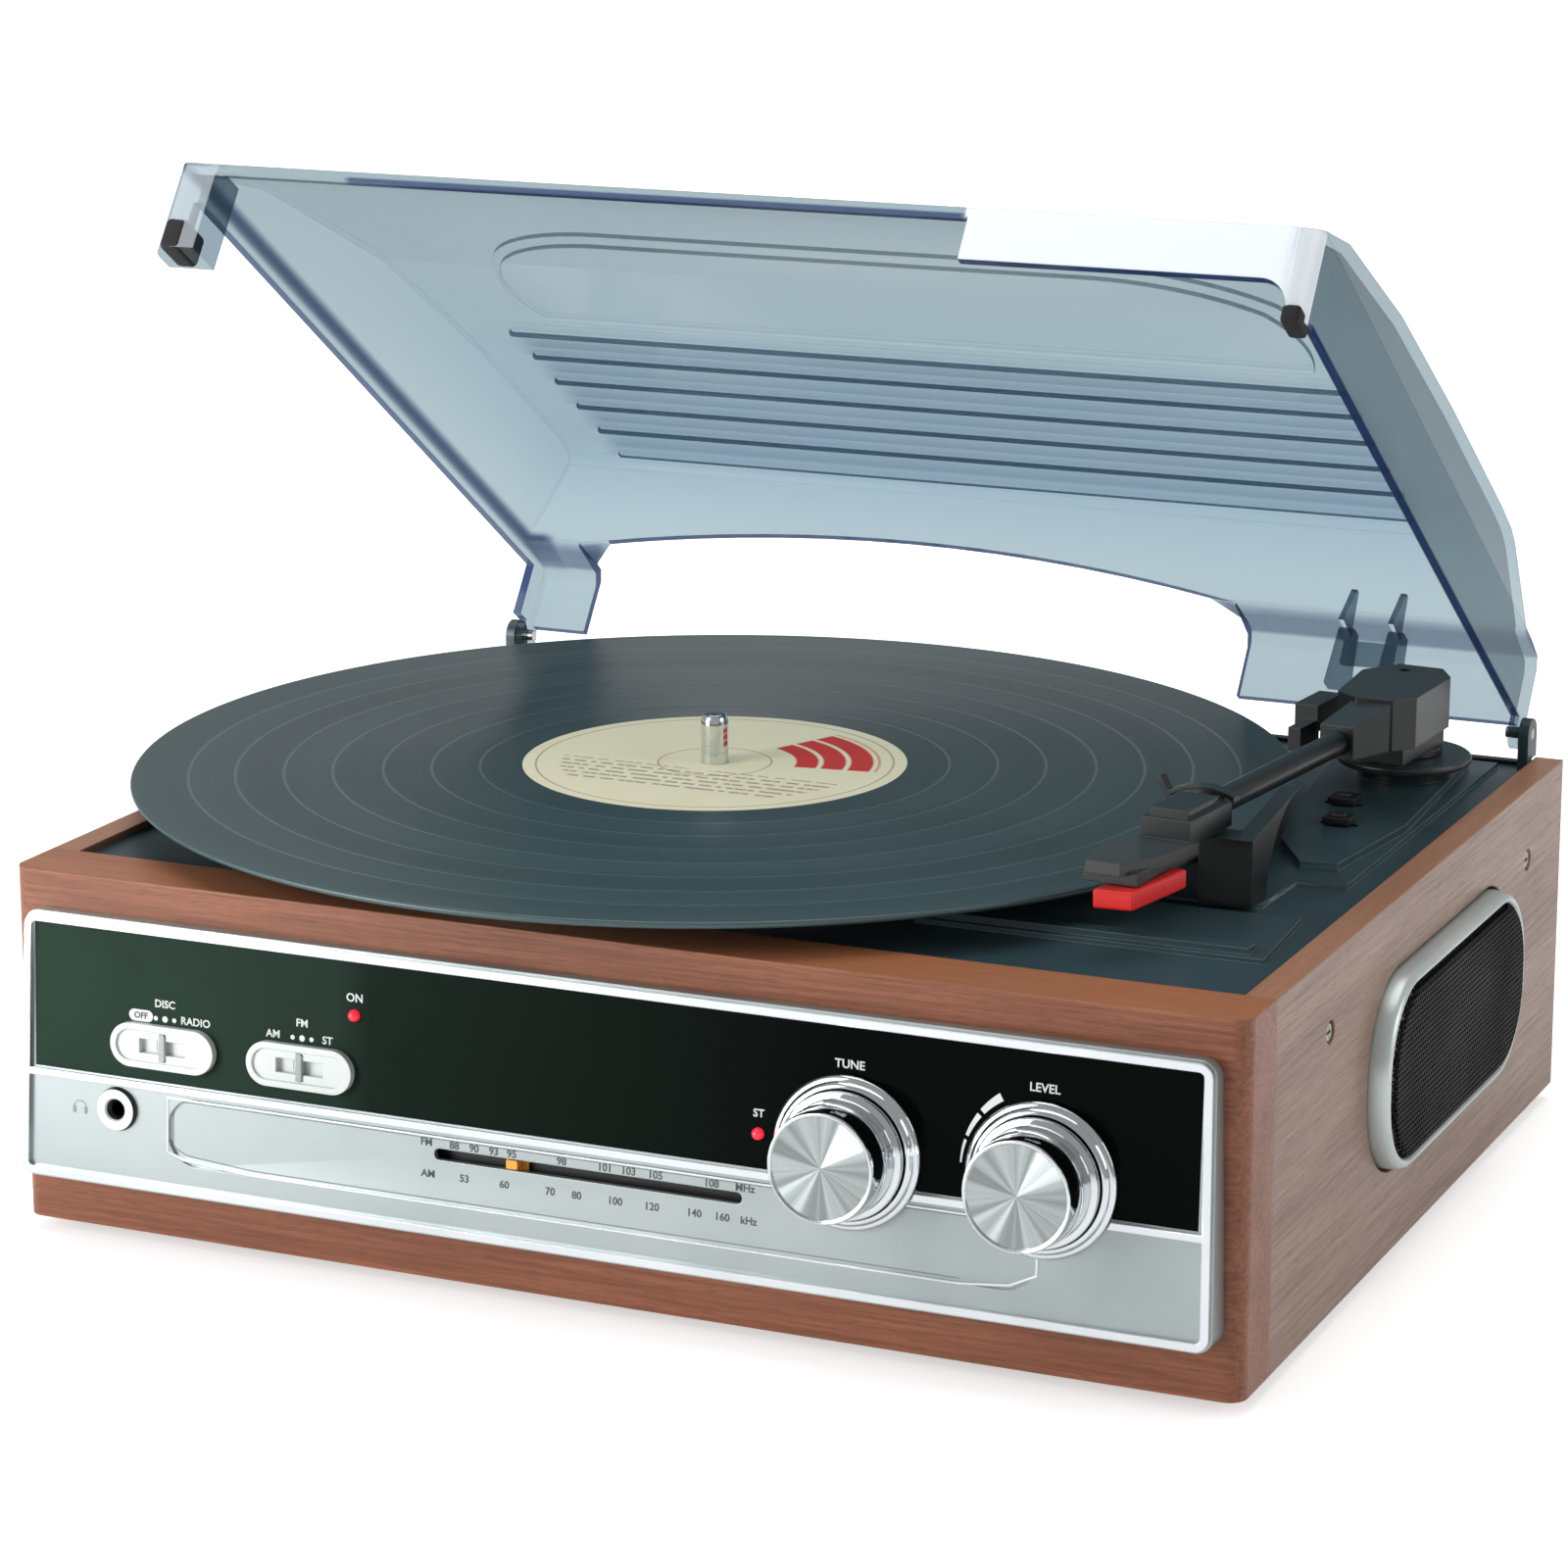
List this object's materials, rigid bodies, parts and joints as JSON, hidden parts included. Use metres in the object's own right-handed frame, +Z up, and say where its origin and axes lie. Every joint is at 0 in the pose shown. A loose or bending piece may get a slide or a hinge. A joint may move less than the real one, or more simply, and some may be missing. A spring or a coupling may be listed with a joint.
{
  "type": "stereo music centre",
  "caption": "Wood-cabinet music centre with radio fascia, record player, tonearm and tilted clear lid.",
  "frame": {"origin": "middle of the cabinet, on the plane that the rubber feet stand on", "axes": "+X to the right along the front, +Y to the back, +Z up; rest pose is the lid held open as pictured"},
  "size_m": [0.3498, 0.3056, 0.2613],
  "materials": {
    "wood": "reddish-brown satin veneer",
    "fibreboard": "bare board",
    "black_plastic": "satin black with a cool sheen",
    "gloss_black": "gloss black",
    "silver_plastic": "satin silver paint on plastic",
    "chrome": "polished",
    "steel": "zinc plated",
    "mesh_black": "black painted punched steel",
    "smoke_clear": "clear smoke-blue",
    "vinyl": "glossy vinyl with fine grooves",
    "label_paper": "matt cream paper",
    "rubber": "matt",
    "red_plastic": "translucent red",
    "orange_plastic": "glossy",
    "board": "circuit board lacquer",
    "brass": "turned",
    "cast_alloy": "cast",
    "ivory_plastic": "matt",
    "motor_steel": "plain"
  },
  "bodies": {
    "cabinet": {"front_frame": "wood", "side_panel_right": "wood", "side_panel_left": "wood", "back_panel": "fibreboard", "bottom_board": "fibreboard", "rubber_feet": "rubber", "bottom_screws": "steel", "side_screws": "chrome", "top_deck": "black_plastic", "cord_grommet": "rubber", "fascia": "silver_plastic", "black_panel": "gloss_black", "fascia_bead": "chrome", "tuning_bezel": "chrome", "volume_bezel": "chrome", "switch_windows": "silver_plastic", "power_lamp": "red_plastic", "stereo_lamp": "red_plastic", "headphone_socket": "chrome", "dial_backplate": "black_plastic", "front_board": "board", "main_board": "board", "mains_transformer": "motor_steel", "tuning_capacitor": "ivory_plastic", "volume_pot": "steel", "slide_switches": "steel", "speaker_right": "motor_steel", "speaker_left": "motor_steel", "speaker_bezel_right": "silver_plastic", "speaker_bezel_left": "silver_plastic", "grille_right": "mesh_black", "grille_left": "mesh_black", "spindle": "chrome", "bearing_housing": "brass", "drive_motor": "motor_steel", "drive_belt": "rubber", "arm_base": "black_plastic", "arm_rest": "black_plastic", "hinge_posts": "black_plastic", "hinge_pins": "steel"},
    "tuning": {"tuning_knob": "chrome", "dial_drum": "ivory_plastic"},
    "pointer": {"dial_pointer": "orange_plastic"},
    "volume": {"volume_knob": "chrome"},
    "function_lever": {"function_lever": "silver_plastic"},
    "band_lever": {"band_lever": "silver_plastic"},
    "turntable": {"platter": "cast_alloy", "slip_mat": "rubber", "record": "vinyl", "record_label": "label_paper"},
    "pulley": {"motor_pulley": "brass"},
    "turret": {"arm_turret": "black_plastic"},
    "arm": {"arm_housing": "black_plastic", "arm_tube": "black_plastic", "headshell": "black_plastic", "stylus_holder": "red_plastic"},
    "cue_lever": {"cue_lever": "black_plastic"},
    "speed_switch": {"speed_switch": "black_plastic"},
    "stop_switch": {"stop_switch": "black_plastic"},
    "lid": {"lid": "smoke_clear"}
  },
  "joints": [
    {"name": "lid_hinge", "type": "hinge", "parent": "cabinet", "child": "lid", "pos_m": [0, 0.126, 0.1016], "axis": [-1, 0, 0], "range_deg": [-36.65, 20]},
    {"name": "platter_spin", "type": "hinge", "parent": "cabinet", "child": "turntable", "pos_m": [-0.0305, 0.0024, 0.0946], "axis": [0, 0, -1], "continuous": true},
    {"name": "pulley_spin", "type": "hinge", "parent": "cabinet", "child": "pulley", "pos_m": [-0.08707, 0.05897, 0.0896], "axis": [0, 0, -1], "continuous": true},
    {"name": "arm_swing", "type": "hinge", "parent": "cabinet", "child": "turret", "pos_m": [0.128, 0.092, 0.1136], "axis": [0, 0, -1], "range_deg": [0, 38]},
    {"name": "arm_lift", "type": "hinge", "parent": "turret", "child": "arm", "pos_m": [0.128, 0.092, 0.1136], "axis": [-0.9959, 0.0906, 0], "range_deg": [0, 3.8]},
    {"name": "cue_turn", "type": "hinge", "parent": "turret", "child": "cue_lever", "pos_m": [0.11261, 0.07734, 0.1064], "axis": [-0.9959, 0.0906, 0], "range_deg": [0, 25]},
    {"name": "tuning_turn", "type": "hinge", "parent": "cabinet", "child": "tuning", "pos_m": [0.0668, -0.13516, 0.05324], "axis": [0, 0.9982, -0.0593], "range_deg": [-76, 238]},
    {"name": "pointer_slide", "type": "slide", "parent": "cabinet", "child": "pointer", "axis": [1, 0, 0], "range_m": [-0.0188, 0.0583]},
    {"name": "volume_turn", "type": "hinge", "parent": "cabinet", "child": "volume", "pos_m": [0.1146, -0.13516, 0.05324], "axis": [0, 0.9982, -0.0593], "range_deg": [-150, 150]},
    {"name": "function_slide", "type": "slide", "parent": "cabinet", "child": "function_lever", "axis": [1, 0, 0], "range_m": [-0.004, 0.004]},
    {"name": "band_slide", "type": "slide", "parent": "cabinet", "child": "band_lever", "axis": [1, 0, 0], "range_m": [-0.004, 0.004]},
    {"name": "speed_slide", "type": "slide", "parent": "cabinet", "child": "speed_switch", "axis": [1, 0, 0], "range_m": [-0.0028, 0.0028]},
    {"name": "stop_slide", "type": "slide", "parent": "cabinet", "child": "stop_switch", "axis": [1, 0, 0], "range_m": [-0.0028, 0.0028]}
  ],
  "couplings": [
    {"joint": "pulley_spin", "follows": "platter_spin", "ratio": 12.4},
    {"joint": "pointer_slide", "follows": "tuning_turn", "m_per_rad": 0.014}
  ]
}
